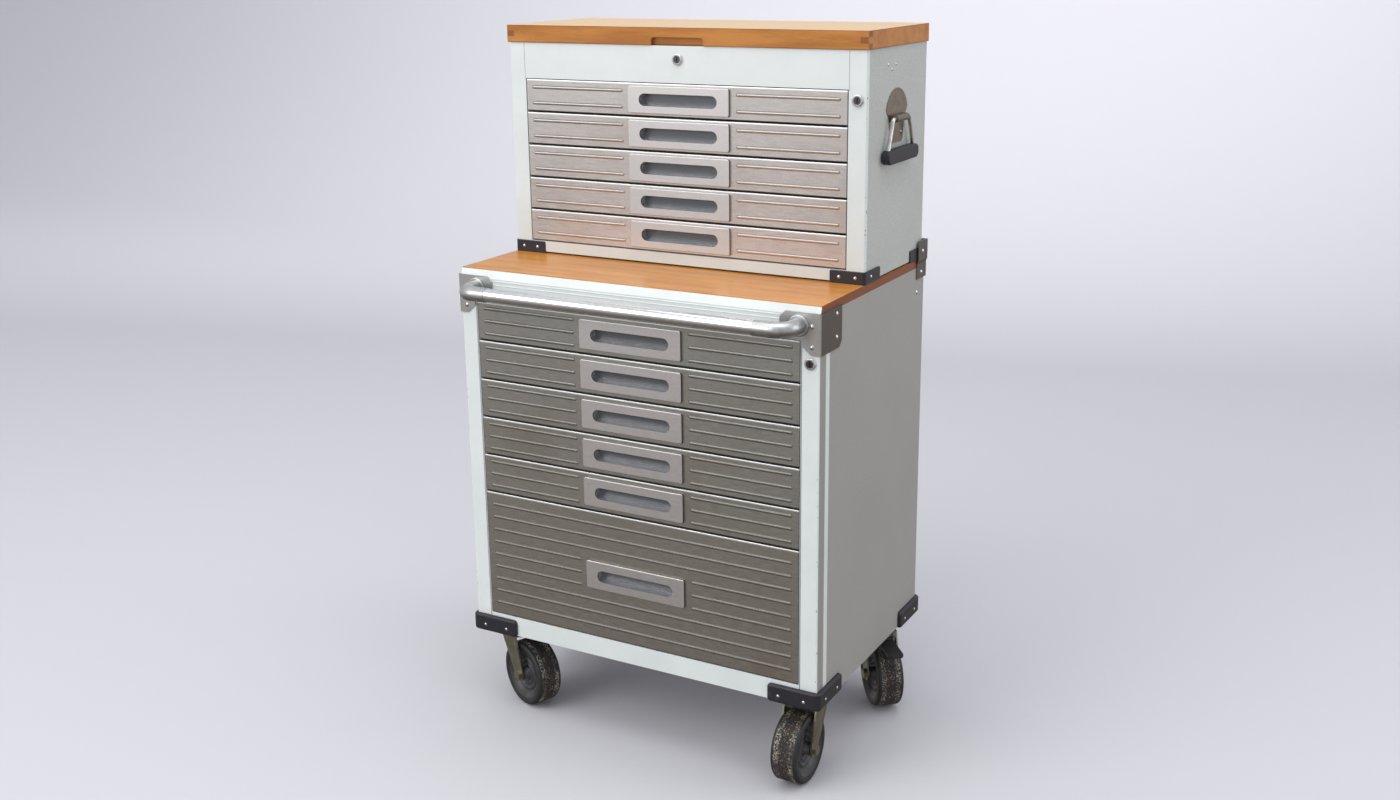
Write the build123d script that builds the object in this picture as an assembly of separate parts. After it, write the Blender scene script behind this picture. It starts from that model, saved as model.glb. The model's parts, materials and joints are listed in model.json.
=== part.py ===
from build123d import *
import os
from math import atan2, cos, sin

# A rolling tool cabinet with a separate chest on its worktop, in millimetres.
# X runs left to right, Y front to back, Z up. The origin is on the floor, under the middle of
# the whole outline, push handle and bumpers included.

# ---- sheet and overall sizes -------------------------------------------------------------
sheet = 1.2                  # folded steel sheet
cabinet_width = 711.0
cabinet_depth = 457.0
bottom_rail = 38.0           # white rail under the lowest drawer
worktop_thickness = 15.0
worktop_setback = 6.5        # front edge of the board behind the cabinet's front
top_rail = 42.5              # white rail over the top drawer, up to the board's underside
post_width = 34.0
post_wrap = 38.0             # how far a front post folds round the side
jamb_depth = 24.0
edge_radius = 3.0
shell_lap = 12.0             # inner lap between a side and the folded front post
shell_lap_margin = 8.0
board_round = 1.0
bead_radius = 1.5            # pressed lines along the white top rail
bead_sink = 0.6
bead_drops = (4.0, 11.0)     # under the board's underside

# ---- drawers -----------------------------------------------------------------------------
drawer_pitch = 72.3
deep_drawer_pitch = 245.0
drawer_count = 5
chest_drawer_pitch = 60.2
chest_drawer_count = 5
drawer_gap = 1.5             # side gap of a front in its opening
drawer_line_gap = 3.0        # gap between one front and the next
front_depth = 18.0
front_return = 14.0          # flange at a front's back, spot-welded to the drawer box
drawer_sheet = 1.0
rib_height = 1.6
rib_radius = 4.0
rib_edge_margin = 11.0
rib_pull_margin = 11.0
deep_rib_pitch = 24.5
deep_rib_margin = 17.0
pull_width = 203.0
pull_height = 53.0
chest_pull_height = 48.0
pull_thickness = 4.0
pull_corner = 4.0
slot_length = 156.0
slot_height = 22.0
slot_depth = 14.0
slot_wall = 1.2
slot_clearance = 1.0         # hole in the front round the slot's cup
pan_round = 1.0
pull_round = 1.2
rib_pull_gap = 2.0           # least height between a full-width rib and the pull plate
rib_rows = 3
chest_rib_rows = 2
box_lift = 4.0               # drawer box above its front's lower edge
box_headroom = 12.0          # how much lower than its front a box is
cup_room = 12.0              # slide bar starts behind the front by this

# ---- slides ------------------------------------------------------------------------------
rail_height = 34.0
rail_web = 2.0
rail_depth = 12.0            # sideways room of a slide between upright and drawer box
slide_clearance = 0.4
bar_height = rail_height - 2 * rail_web - 2 * slide_clearance
upright_width = 40.0
upright_places = (0.24, 0.8)  # along the depth
rail_end_gap = 14.0
rail_setback = 2.0
rail_mouth = 1.0             # rail flange short of the drawer box
rail_rise = 60.0             # highest rail above a front's lower edge

# ---- chest -------------------------------------------------------------------------------
chest_side_gap = 1.0         # chest inside the cabinet's side, on each side
chest_depth = 267.0
chest_rear_gap = 12.0        # chest ahead of the cabinet's back
chest_foot = 3.0             # bumper under the chest's floor
chest_bottom_rail = 20.0
chest_top_rail = 64.0
chest_post_wrap = 8.0
chest_lap = 4.0
till_drop = 60.0             # till floor under the chest's rim
till_clearance = 0.2
lid_height = 31.0
lid_board = 15.0
lid_panel = 10.0
lid_overhang = 2.5
finger_count = 3
lid_recess_width = 104.0
lid_recess_height = 14.0
lid_recess_depth = 8.0
lid_seat = 0.3
stay_rivets = ((177.5, 29.0), (162.5, 37.5), (145.5, 30.0))  # ahead of the back, under the rim

# ---- lid hinge ---------------------------------------------------------------------------
hinge_pin_radius = 1.5
hinge_barrel_radius = 3.2
hinge_running = 0.05
hinge_weld = 0.6             # how far a barrel sinks into its leaf
hinge_leaf = 24.0
hinge_margin = 30.0
hinge_knuckles = 7
hinge_knuckle_gap = 0.4

# ---- push handle -------------------------------------------------------------------------
tube_radius = 12.7
tube_wall = 1.5
elbow_radius = 13.4
elbow_bend = 27.0
handle_standoff = 48.0
handle_drop = 33.0           # handle under the worktop's top
handle_inset = 36.5          # elbow's ring in from the cabinet's side
elbow_reach = 57.0           # from the ring to where the chrome tube begins
sleeve_overlap = 16.0
sleeve_fit = 0.1
elbow_ring_radius = 18.0
elbow_ring_thickness = 4.0

# ---- corner and rear brackets ------------------------------------------------------------
bracket_sheet = 2.5
corner_bracket_width = 73.5
corner_bracket_rise = 4.0    # above the board's underside
corner_bracket_height = 70.0
corner_bracket_side = 80.0
corner_bracket_chamfer = 10.0
corner_bracket_gap = 2.5     # narrow part beside the drawer opening
corner_bracket_lap = 1.0     # wide part above the drawer opening
rear_bracket_width = 42.0
rear_bracket_rise = 33.0
rear_bracket_drop = 36.0
rear_bracket_round = 8.0
rear_step_drop = 8.0         # where the bracket steps in, under the worktop's top
rear_step_height = 6.0
rear_bracket_gap = 0.6       # between a chest bumper and the bracket beside it
rivet_radius = 4.2
rivet_height = 1.8
front_rivet_inset = 13.5
front_rivet_rise = 14.0      # lower rivet above the bracket's foot
side_rivet_back = 60.0
side_rivet_drop = 12.0
side_rivet_rise = 19.0
rear_rivet_drop = 25.0
rear_rivet_rise = 14.0
back_rivet = (34.5, 61.0)    # on the side panel: ahead of the back, under the worktop's top

# ---- bumpers -----------------------------------------------------------------------------
bumper_length = 92.0
bumper_height = 31.0
bumper_thickness = 7.0
bumper_lip = 2.0
bumper_round = 4.5
bumper_end_round = 7.0
bumper_screws = (22.0, 70.0)
bumper_screw_drop = 4.0      # screws under a bumper's middle
chest_bumper_length = 63.0
chest_bumper_height = 22.0
chest_bumper_thickness = 2.6
chest_bumper_round = 1.0
chest_bumper_end_round = 3.0
chest_bumper_screws = (16.0, 46.0)
chest_bumper_side_screw = 24.0
screw_radius = 3.0
screw_height = 1.2

# ---- locks -------------------------------------------------------------------------------
lock_radius = 10.0
lock_bezel_height = 4.0
lock_bezel_round = 1.5
lock_barrel = 16.0
lock_barrel_radius = 8.0
plug_radius = 6.5
plug_running = 0.05
plug_proud = 0.6
key_slot_length = 8.0
key_slot_width = 1.6
key_slot_depth = 6.0
lock_inset = 16.5            # drawer locks in from the side
cabinet_lock_drop = 37.5     # under the top drawer's upper edge
chest_lock_drop = 17.0
lid_lock_drop = 23.0         # under the chest's rim
cam_length = 11.0
cam_half_width = 5.0
cam_tail = 6.0
cam_gap = 2.0                # cam behind the lock's barrel
cam_sheet = 2.0

# ---- drop handles ------------------------------------------------------------------------
bail_forward = 6.0           # ahead of the chest's middle
bail_pivot_drop = 120.0      # under the chest's rim
bail_pivot_half = 36.0
bail_foot_half = 60.0
bail_drop = 62.0
bail_wire = 3.5
bail_bend = 5.0
bail_ear_half = 26.0
bail_hook = 12.0             # wire inside each end of the ear
bail_ear_gap = 0.05
bail_standoff = 9.0
grip_length = 138.0
grip_height = 24.0
grip_thickness = 15.0
grip_end_radius = 11.0
grip_round = 3.0
bail_plate_sheet = 1.5
bail_plate_radius = 50.0     # round head of the plate, about the wire's pivot
bail_plate_shoulder = 16.0   # the head narrows from here, above the pivot
bail_waist_half = 35.0
bail_tongue_half = 26.0
bail_tongue = 42.0
bail_tongue_corner = 8.0
bail_ear_wall = 2.5
bail_rivet = (19.0, 26.0)    # beside the plate's middle, under the pivot

# ---- casters -----------------------------------------------------------------------------
wheel_radius = 63.5
tyre_width = 50.0
tyre_shoulder = 7.0
hub_radius = 47.0
hub_width = 44.0
axle_radius = 6.0
axle_running = 0.06
boss_radius = 12.0
boss_proud = 2.0             # hub boss beyond the tyre
hub_dish = 8.0
hub_ring_inset = 3.0
hub_ring_inner = 21.0
hub_ring_outer = 26.0
hub_dish_outer = 34.0
hub_rim_inner = 36.0
fork_sheet = 3.0
fork_wheel_gap = 4.0
fork_crown = 5.0
wheel_crown_gap = 9.0
fork_crown_radius = 36.0
fork_leg_top = 52.0
fork_leg_end = 13.0
fork_leg_step = 4.0          # front edge of a leg ends above the axle by this
axle_stub = 4.0
axle_head_radius = 10.0
axle_head = 6.0
caster_trail = 35.0
caster_inset_x = 50.5
caster_inset_y = 68.5
caster_plate = 3.0
caster_plate_x = 84.0
caster_plate_y = 110.0
caster_plate_corner = 6.0
race_radius = 34.0
race_chamfer = 3.0
race_height = 15.6
race_gap = 0.4
kingpin_radius = 6.0
kingpin_running = 0.06
kingpin_reach = 2.0          # past the crown, and into the raceway
kingpin_nut_radius = 9.0
kingpin_nut = 6.0
caster_bolt_head = 7.0
caster_bolt_height = 4.0
caster_bolt_x = 31.0
caster_bolt_y = 45.0
front_left_heading = -22.0   # directions in which the wheels trail, in degrees from +X
front_right_heading = -90.0
rear_right_heading = -50.0
rear_left_heading = -130.0
pedal_pin_radius = 3.0
pedal_running = 0.06
pedal_pin_out = 46.0         # pin ahead of the kingpin, along the trail
pedal_pin_drop = 1.0         # pin under the crown
pedal_eye_radius = 5.0
pedal_ear = 3.0
pedal_ear_gap = 0.5
shoe_start = 15.0
shoe_length = 17.0
shoe_drop = 6.0
pedal_width = 30.0
pedal_sheet = 4.0
pedal_length = 78.0
pedal_round = 10.5

# ---- worked out --------------------------------------------------------------------------
fork_crown_z = 2 * wheel_radius + wheel_crown_gap
fork_top = fork_crown_z + fork_crown
body_bottom = fork_top + race_gap + race_height + caster_plate
front_reach = handle_standoff + elbow_radius
rear_reach = bumper_thickness + screw_height
front_y = (front_reach - rear_reach - cabinet_depth) / 2
rear_y = front_y + cabinet_depth
side_x = cabinet_width / 2
opening_half = side_x - post_width
opening_floor = body_bottom + bottom_rail
deep_drawer_top = opening_floor + deep_drawer_pitch
opening_top = deep_drawer_top + drawer_count * drawer_pitch
worktop_bottom = opening_top + top_rail
worktop_top = worktop_bottom + worktop_thickness
worktop_front = front_y + worktop_setback

chest_rear = rear_y - chest_rear_gap
chest_front = chest_rear - chest_depth
chest_side = side_x - chest_side_gap
chest_opening_half = chest_side - post_width + chest_side_gap
chest_bottom = worktop_top + chest_foot
chest_opening_floor = chest_bottom + chest_bottom_rail
chest_opening_top = chest_opening_floor + chest_drawer_count * chest_drawer_pitch
chest_top = chest_opening_top + chest_top_rail
till_floor_z = chest_top - till_drop
lid_bottom = chest_top + lid_seat
lid_top = lid_bottom + lid_height
lid_half = chest_side + lid_overhang
lid_front = chest_front - lid_overhang
lid_rear = chest_rear
hinge_y = lid_rear + sheet + hinge_barrel_radius - hinge_weld
hinge_z = lid_bottom - lid_seat / 2

handle_z = worktop_top - handle_drop
handle_half_span = side_x - handle_inset
handle_y = front_y - handle_standoff
sleeve_end = handle_half_span - elbow_reach
corner_bracket_top = worktop_bottom + corner_bracket_rise
corner_bracket_foot = corner_bracket_top - corner_bracket_height
bracket_inner_x = side_x + bracket_sheet - corner_bracket_width
cabinet_lock = (side_x - lock_inset, front_y, opening_top - cabinet_lock_drop)
chest_lock = (chest_side - lock_inset, chest_front, chest_opening_top - chest_lock_drop)
lid_lock = (0.0, chest_front, chest_top - lid_lock_drop)
bail_y = (chest_front + chest_rear) / 2 - bail_forward
bail_pivot_z = chest_top - bail_pivot_drop
bail_x = chest_side + bail_standoff
caster_x = side_x - caster_inset_x
front_caster_y = front_y + caster_inset_y
rear_caster_y = rear_y - caster_inset_y
pedal_pin_z = fork_crown_z - pedal_pin_drop


def block(x0, x1, y0, y1, z0, z1):
    """A box from its lowest and highest corner."""
    middle = Pos((x0 + x1) / 2, (y0 + y1) / 2, (z0 + z1) / 2)
    return middle * Box(x1 - x0, y1 - y0, z1 - z0)


def rod(radius, start, end):
    """A round bar between two points."""
    axis = Vector(*end) - Vector(*start)
    plane = Plane(origin=start, z_dir=axis)
    return plane * extrude(Circle(radius), axis.length)


def mirrored(shape):
    """The same shape on the other side of the cabinet."""
    return mirror(shape, about=Plane.YZ)


def both_sides(shape):
    return [shape, mirrored(shape)]


def plate_xz(points, y_front, y_back):
    """A flat plate across Y from its outline in X and Z."""
    face = Plane.XZ.offset(-y_back) * make_face(Polyline(*points, close=True))
    return extrude(face, y_back - y_front)


def plate_yz(points, x0, x1):
    """A flat plate across X from its outline in Y and Z."""
    face = Plane.YZ.offset(x0) * make_face(Polyline(*points, close=True))
    return extrude(face, x1 - x0)


def save(node, pieces):
    """Write the separate solids of one node."""
    solids = [solid for piece in pieces for solid in piece.solids()]
    compound = Compound(children=solids)
    compound.label = node
    export_step(compound, os.path.join("parts", node + ".step"))


# ---- carcass -----------------------------------------------------------------------------
def front_frame(half, y, z0, z1, hole_half, hole_z0, hole_z1, wrap):
    """White front of folded sheet: posts that fold round the sides, and an opening with jambs."""
    outer = block(-half, half, y, y + wrap, z0, z1)
    outer = fillet(outer.edges().filter_by(Axis.Z).group_by(Axis.Y)[0], edge_radius)
    inner = block(-half + sheet, half - sheet, y + sheet, y + wrap + sheet, z0 - sheet, z1 + sheet)
    inner = fillet(inner.edges().filter_by(Axis.Z).group_by(Axis.Y)[0], edge_radius - sheet)
    jambs = block(
        -hole_half - sheet, hole_half + sheet, y, y + jamb_depth, hole_z0 - sheet, hole_z1 + sheet
    )
    hole = block(-hole_half, hole_half, y - sheet, y + jamb_depth + sheet, hole_z0, hole_z1)
    return outer - inner + jambs - hole


def shell(half, y0, y1, z0, z1, roof):
    """Sides and back in one folded sheet, with an optional top."""
    outer = block(-half, half, y0, y1, z0, z1)
    outer = fillet(outer.edges().filter_by(Axis.Z).group_by(Axis.Y)[-1], edge_radius)
    ceiling = z1 - sheet if roof else z1 + sheet
    inner = block(-half + sheet, half - sheet, y0 - sheet, y1 - sheet, z0 - sheet, ceiling)
    return outer - inner


def joggle_strip(half, y, length, z0, z1):
    """Inner lap that joins a side to the folded front post."""
    return block(half - 2 * sheet, half - sheet, y - length, y + length, z0, z1)


def cabinet_body():
    frame = front_frame(
        side_x, front_y, body_bottom, worktop_bottom, opening_half, opening_floor, opening_top,
        post_wrap,
    )
    lip = plate_yz(
        [
            (front_y, worktop_bottom),
            (worktop_front, worktop_top - sheet),
            (worktop_front, worktop_bottom),
        ],
        -side_x,
        side_x,
    )
    frame = frame + lip
    bead_x = bracket_inner_x - 1
    bead_y = front_y + bead_sink
    for drop in bead_drops:
        bead_z = worktop_bottom - drop
        frame = frame + rod(bead_radius, (-bead_x, bead_y, bead_z), (bead_x, bead_y, bead_z))
    save("cabinet_front_frame", [frame - lock_hole(cabinet_lock)])

    post_end = front_y + post_wrap
    body = shell(side_x, post_end, rear_y, body_bottom, worktop_bottom, True)
    lap_z = (body_bottom + shell_lap_margin, worktop_bottom - shell_lap_margin)
    for lap in both_sides(joggle_strip(side_x, post_end, shell_lap, *lap_z)):
        body = body + lap
    save("cabinet_shell", [body])

    floor = block(
        -side_x + sheet, side_x - sheet, front_y + sheet, rear_y - sheet,
        body_bottom, body_bottom + sheet,
    )
    corners = floor.edges().filter_by(Axis.Z)
    save("cabinet_floor_pan", [fillet(corners, edge_radius)])

    board = block(-side_x, side_x, worktop_front, rear_y, worktop_bottom, worktop_top)
    save("worktop_board", [fillet(board.edges().filter_by(Axis.Z), board_round)])


def chest_body():
    frame = front_frame(
        chest_side, chest_front, chest_bottom, chest_top, chest_opening_half,
        chest_opening_floor, chest_opening_top, chest_post_wrap,
    )
    save("chest_front_frame", [frame - lock_hole(lid_lock) - lock_hole(chest_lock)])

    post_end = chest_front + chest_post_wrap
    body = shell(chest_side, post_end, chest_rear, chest_bottom, chest_top, False)
    lap_z = (chest_bottom + chest_lap, chest_top - chest_lap)
    for lap in both_sides(joggle_strip(chest_side, post_end, chest_lap, *lap_z)):
        body = body + lap
    save("chest_shell", [body])

    inside_x = chest_side - sheet
    inside_front = chest_front + sheet
    inside_rear = chest_rear - sheet
    bottom = block(
        -inside_x, inside_x, inside_front, inside_rear, chest_bottom, chest_bottom + sheet
    )
    lap_x = inside_x - sheet
    till = block(
        -lap_x, lap_x, inside_front + till_clearance, inside_rear, till_floor_z - sheet, till_floor_z
    )
    bottom = fillet(bottom.edges().filter_by(Axis.Z), edge_radius)
    save("chest_floors", [bottom, till])


def lock_hole(place):
    """Hole in the front sheet for a lock's barrel."""
    x, y, z = place
    return rod(lock_barrel_radius, (x, y - sheet, z), (x, y + 2 * sheet, z))


# ---- drawers -----------------------------------------------------------------------------
def rib(x0, x1, y, z):
    """A pressed rib: a round bar sunk in the skin, with rounded ends."""
    axis_y = y + rib_radius - rib_height
    bar = rod(rib_radius, (x0, axis_y, z), (x1, axis_y, z))
    ends = Pos(x0, axis_y, z) * Sphere(rib_radius) + Pos(x1, axis_y, z) * Sphere(rib_radius)
    past = 2 * rib_radius
    inside = block(x0 - past, x1 + past, y + sheet / 2, y + 3 * rib_radius, z - past, z + past)
    return bar + ends - inside


def drawer_front(half, y, z0, z1, pull_z, pull_h, ribs, full_ribs):
    """A folded stainless pan with pressed ribs, and the pull plate with its finger slot."""
    pan = block(-half, half, y, y + front_depth, z0, z1)
    pan = fillet(pan.faces().sort_by(Axis.Y)[0].edges(), pan_round)
    hollow = block(
        -half + drawer_sheet, half - drawer_sheet, y + sheet, y + front_depth - drawer_sheet,
        z0 + drawer_sheet, z1 - drawer_sheet,
    )
    back = block(
        -half + front_return, half - front_return, y + sheet, y + front_depth + sheet,
        z0 + front_return, z1 - front_return,
    )
    pan = pan - hollow - back
    rib_end = half - rib_edge_margin - rib_radius
    rib_start = pull_width / 2 + rib_pull_margin + rib_radius
    for rib_z in ribs:
        beside_pull = abs(rib_z - pull_z) < pull_h / 2 + rib_radius + rib_pull_gap
        if full_ribs and not beside_pull:
            pan = pan + rib(-rib_end, rib_end, y, rib_z)
        else:
            pan = pan + rib(rib_start, rib_end, y, rib_z) + rib(-rib_end, -rib_start, y, rib_z)
    facing = Plane(origin=(0, y, pull_z), x_dir=(1, 0, 0), z_dir=(0, -1, 0))
    margin = slot_wall + slot_clearance
    hole = SlotOverall(slot_length + 2 * margin, slot_height + 2 * margin)
    pan = pan - extrude(facing * hole, 5 * sheet, both=True)

    plate = extrude(facing * RectangleRounded(pull_width, pull_h, pull_corner), pull_thickness)
    plate = fillet(plate.faces().sort_by(Axis.Y)[0].edges(), pull_round)
    cup = SlotOverall(slot_length + 2 * slot_wall, slot_height + 2 * slot_wall)
    plate = plate + extrude(facing * cup, -slot_depth)
    bowl = facing.offset(-slot_depth + slot_wall) * SlotOverall(slot_length, slot_height)
    return [pan, plate - extrude(bowl, slot_depth + pull_thickness)]


def drawer_box(half, y_front, length, z0, height, rail_z, opening_x):
    """An open box of folded sheet with a slide bar on each side."""
    outer = block(-half, half, y_front, y_front + length, z0, z0 + height)
    inner = block(
        -half + drawer_sheet, half - drawer_sheet, y_front + drawer_sheet,
        y_front + length - drawer_sheet, z0 + drawer_sheet, z0 + height + drawer_sheet,
    )
    bar_x = opening_x - rail_web - slide_clearance
    bar = block(
        half, bar_x, y_front + cup_room, y_front + length,
        rail_z - bar_height / 2, rail_z + bar_height / 2,
    )
    return [outer - inner] + both_sides(bar)


def slide_rail(opening_x, y0, y1, rail_z):
    """Fixed C rail, open towards the drawer."""
    half_height = rail_height / 2
    outer = block(
        opening_x - rail_depth + rail_mouth, opening_x, y0, y1,
        rail_z - half_height, rail_z + half_height,
    )
    inner = block(
        opening_x - rail_depth - 1, opening_x - rail_web, y0 - 1, y1 + 1,
        rail_z - half_height + rail_web, rail_z + half_height - rail_web,
    )
    return outer - inner


def upright(opening_x, wall_x, y, z0, z1):
    """Channel between the side wall and the rails."""
    outer = block(opening_x, wall_x, y - upright_width / 2, y + upright_width / 2, z0, z1)
    inner = block(
        opening_x + sheet, wall_x + sheet, y - upright_width / 2 + sheet,
        y + upright_width / 2 - sheet, z0 - sheet, z1 + sheet,
    )
    return outer - inner


def deep_ribs(bottom, top):
    """Heights of the ribs all over the deep drawer's front."""
    count = int((top - bottom - 2 * deep_rib_margin) / deep_rib_pitch) + 1
    first = (bottom + top - (count - 1) * deep_rib_pitch) / 2
    return [first + index * deep_rib_pitch for index in range(count)]


def drawer_stack(prefix, levels, opening_x, wall_x, y, rear, pull_h, floor_z, ceiling_z, rows):
    """All drawers of one carcass, each from its lower and upper height, with their rails."""
    box_front = y + front_depth
    box_rear = rear - rail_end_gap
    box_half = opening_x - rail_depth
    front_half = opening_x - drawer_gap
    rails = []
    for number, (z0, z1, deep) in enumerate(levels, start=1):
        bottom = z0 + drawer_line_gap / 2
        top = z1 - drawer_line_gap / 2
        middle = (z0 + z1) / 2
        spacing = (top - bottom) / rows
        ribs = [bottom + spacing * (index + 0.5) for index in range(rows)]
        if deep:
            ribs = deep_ribs(bottom, top)
        front = drawer_front(front_half, y, bottom, top, middle, pull_h, ribs, deep)
        save(f"{prefix}drawer_{number}_front", front)
        box_height = top - bottom - box_headroom
        rail_z = min(middle, bottom + rail_rise)
        box = drawer_box(
            box_half, box_front, box_rear - box_front, bottom + box_lift, box_height, rail_z,
            opening_x,
        )
        save(f"{prefix}drawer_{number}_box", box)
        rail_front = y + jamb_depth + rail_setback
        rail_rear = rear - sheet - rail_setback
        rails += both_sides(slide_rail(opening_x, rail_front, rail_rear, rail_z))
    span = rear - y
    for place in upright_places:
        rails += both_sides(upright(opening_x, wall_x, y + span * place, floor_z, ceiling_z))
    return rails


def level(top, pitch, index):
    """Lower and upper height of a shallow drawer, counted from the top."""
    return (top - (index + 1) * pitch, top - index * pitch, False)


def cabinet_drawers():
    levels = [level(opening_top, drawer_pitch, index) for index in range(drawer_count)]
    levels.append((opening_floor, deep_drawer_top, True))
    rails = drawer_stack(
        "", levels, opening_half, side_x - sheet, front_y, rear_y, pull_height,
        body_bottom + sheet, worktop_bottom - sheet, rib_rows,
    )
    save("cabinet_slide_rails", rails)


def chest_drawers():
    levels = [
        level(chest_opening_top, chest_drawer_pitch, index) for index in range(chest_drawer_count)
    ]
    rails = drawer_stack(
        "chest_", levels, chest_opening_half, chest_side - sheet, chest_front, chest_rear,
        chest_pull_height, chest_bottom + sheet, till_floor_z - sheet, chest_rib_rows,
    )
    save("chest_slide_rails", rails)


# ---- lid ---------------------------------------------------------------------------------
def lid():
    """Four boards with finger joints, and a panel let in flush with their top."""
    finger = lid_height / finger_count
    side_in = lid_half - lid_board
    front_in = lid_front + lid_board
    rear_in = lid_rear - lid_board
    front = block(-side_in, side_in, lid_front, front_in, lid_bottom, lid_top)
    rear = block(-side_in, side_in, rear_in, lid_rear, lid_bottom, lid_top)
    side = block(side_in, lid_half, front_in, rear_in, lid_bottom, lid_top)
    for index in range(finger_count):
        z0 = lid_bottom + index * finger
        front_cell = block(side_in, lid_half, lid_front, front_in, z0, z0 + finger)
        rear_cell = block(side_in, lid_half, rear_in, lid_rear, z0, z0 + finger)
        if index % 2 == 0:
            front = front + front_cell + mirrored(front_cell)
            rear = rear + rear_cell + mirrored(rear_cell)
        else:
            side = side + front_cell + rear_cell
    recess = block(
        -lid_recess_width / 2, lid_recess_width / 2, lid_front - 1, lid_front + lid_recess_depth,
        lid_bottom - lid_recess_height, lid_bottom + lid_recess_height,
    )
    recess = fillet(recess.edges().filter_by(Axis.Y), lid_recess_height / 2)
    panel = block(-side_in, side_in, front_in, rear_in, lid_top - lid_panel, lid_top)
    save("lid", [front - recess, rear, panel] + both_sides(side))


def hinge():
    """Continuous hinge along the rear rim: fixed leaf and pin, moving leaf."""
    half = chest_side - hinge_margin
    pitch = 2 * half / hinge_knuckles
    leaf_y = lid_rear
    below_z = hinge_z - hinge_barrel_radius
    above_z = hinge_z + hinge_barrel_radius
    fixed = block(-half, half, leaf_y, leaf_y + sheet, hinge_z - hinge_leaf, below_z)
    moving = block(-half, half, leaf_y, leaf_y + sheet, above_z, hinge_z + hinge_leaf)
    for index in range(hinge_knuckles):
        x0 = -half + index * pitch + hinge_knuckle_gap / 2
        x1 = x0 + pitch - hinge_knuckle_gap
        barrel = rod(hinge_barrel_radius, (x0, hinge_y, hinge_z), (x1, hinge_y, hinge_z))
        below = block(x0, x1, leaf_y, leaf_y + sheet, below_z - 1, hinge_z)
        above = block(x0, x1, leaf_y, leaf_y + sheet, hinge_z, above_z + 1)
        if index % 2 == 0:
            fixed = fixed + barrel + below
        else:
            moving = moving + barrel + above
    past_left = (-half - 1, hinge_y, hinge_z)
    past_right = (half + 1, hinge_y, hinge_z)
    bore = rod(hinge_pin_radius + hinge_running, past_left, past_right)
    pin_hole = rod(hinge_pin_radius, past_left, past_right)
    pin = rod(hinge_pin_radius, (-half, hinge_y, hinge_z), (half, hinge_y, hinge_z))
    save("lid_hinge_fixed_leaf", [fixed - pin_hole, pin])
    save("lid_hinge_moving_leaf", [moving - bore])


# ---- push handle and brackets ------------------------------------------------------------
def elbow():
    """Right-hand elbow: ring on the bracket, quarter bend, sleeve for the tube's end."""
    face_y = front_y - bracket_sheet
    root = (handle_half_span, face_y, handle_z)
    bend = (handle_half_span, handle_y, handle_z)
    path = FilletPolyline(root, bend, (sleeve_end, handle_y, handle_z), radius=elbow_bend)
    pipe = sweep(Plane(origin=root, z_dir=(0, -1, 0)) * Circle(elbow_radius), path)
    ring_front = (handle_half_span, face_y - elbow_ring_thickness, handle_z)
    ring = rod(elbow_ring_radius, root, ring_front)
    ring = fillet(ring.faces().sort_by(Axis.Y)[0].edges(), elbow_ring_thickness / 2)
    socket_end = (sleeve_end + sleeve_overlap, handle_y, handle_z)
    socket = rod(tube_radius + sleeve_fit, (sleeve_end - 1, handle_y, handle_z), socket_end)
    return pipe + ring - socket


def push_handle():
    end_x = sleeve_end + sleeve_overlap - sleeve_fit
    tube = rod(tube_radius, (-end_x, handle_y, handle_z), (end_x, handle_y, handle_z))
    past = end_x + 1
    bore = rod(tube_radius - tube_wall, (-past, handle_y, handle_z), (past, handle_y, handle_z))
    save("handle_tube", [tube - bore])
    save("handle_elbows", both_sides(elbow()))


def corner_bracket():
    """Folded plate round a front corner: wide at the top, narrow beside the drawer."""
    outer_x = side_x + bracket_sheet
    inner_x = bracket_inner_x
    narrow_x = opening_half + corner_bracket_gap
    chamfer = corner_bracket_chamfer
    top = corner_bracket_top
    foot = corner_bracket_foot
    shelf = opening_top + corner_bracket_lap
    front = plate_xz(
        [
            (inner_x, shelf),
            (inner_x, top - chamfer),
            (inner_x + chamfer, top),
            (outer_x, top),
            (outer_x, foot),
            (narrow_x + 1.7 * chamfer, foot),
            (narrow_x, foot + 1.5 * chamfer),
            (narrow_x, shelf),
        ],
        front_y - bracket_sheet,
        front_y,
    )
    rear_edge = front_y + corner_bracket_side
    side = plate_yz(
        [
            (front_y - bracket_sheet, foot),
            (front_y - bracket_sheet, top),
            (rear_edge, top),
            (rear_edge, foot + chamfer),
            (rear_edge - chamfer, foot),
        ],
        side_x,
        outer_x,
    )
    bracket = front + side
    fold = bracket.edges().filter_by(Axis.Z).group_by(Axis.X)[-1].group_by(Axis.Y)[0]
    return fillet(fold, bracket_sheet * 0.8)


def rear_bracket():
    """Bracket on a rear corner that rises above the worktop and keeps the chest on it."""
    joggle = side_x + bracket_sheet
    upper_x = chest_side + chest_bumper_thickness + rear_bracket_gap
    foot = worktop_top - rear_bracket_drop
    step = worktop_top - rear_step_drop
    stepped = step + rear_step_height
    top = worktop_top + rear_bracket_rise
    outline = [
        (side_x, foot), (joggle, foot), (joggle, step), (upper_x + bracket_sheet, stepped),
        (upper_x + bracket_sheet, top), (upper_x, top), (upper_x, stepped), (side_x, step),
    ]
    back = rear_y + bracket_sheet
    side = plate_xz(outline, rear_y - rear_bracket_width, back)
    rear = plate_xz(
        [
            (side_x - rear_bracket_width, foot), (joggle, foot), (joggle, step),
            (upper_x + bracket_sheet, stepped), (upper_x + bracket_sheet, top),
            (side_x - rear_bracket_width, top),
        ],
        rear_y,
        back,
    )
    bracket = side + rear
    corner = bracket.edges().filter_by(Axis.X).group_by(Axis.Z)[-1].group_by(Axis.Y)[0]
    return fillet(corner, rear_bracket_round)


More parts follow.
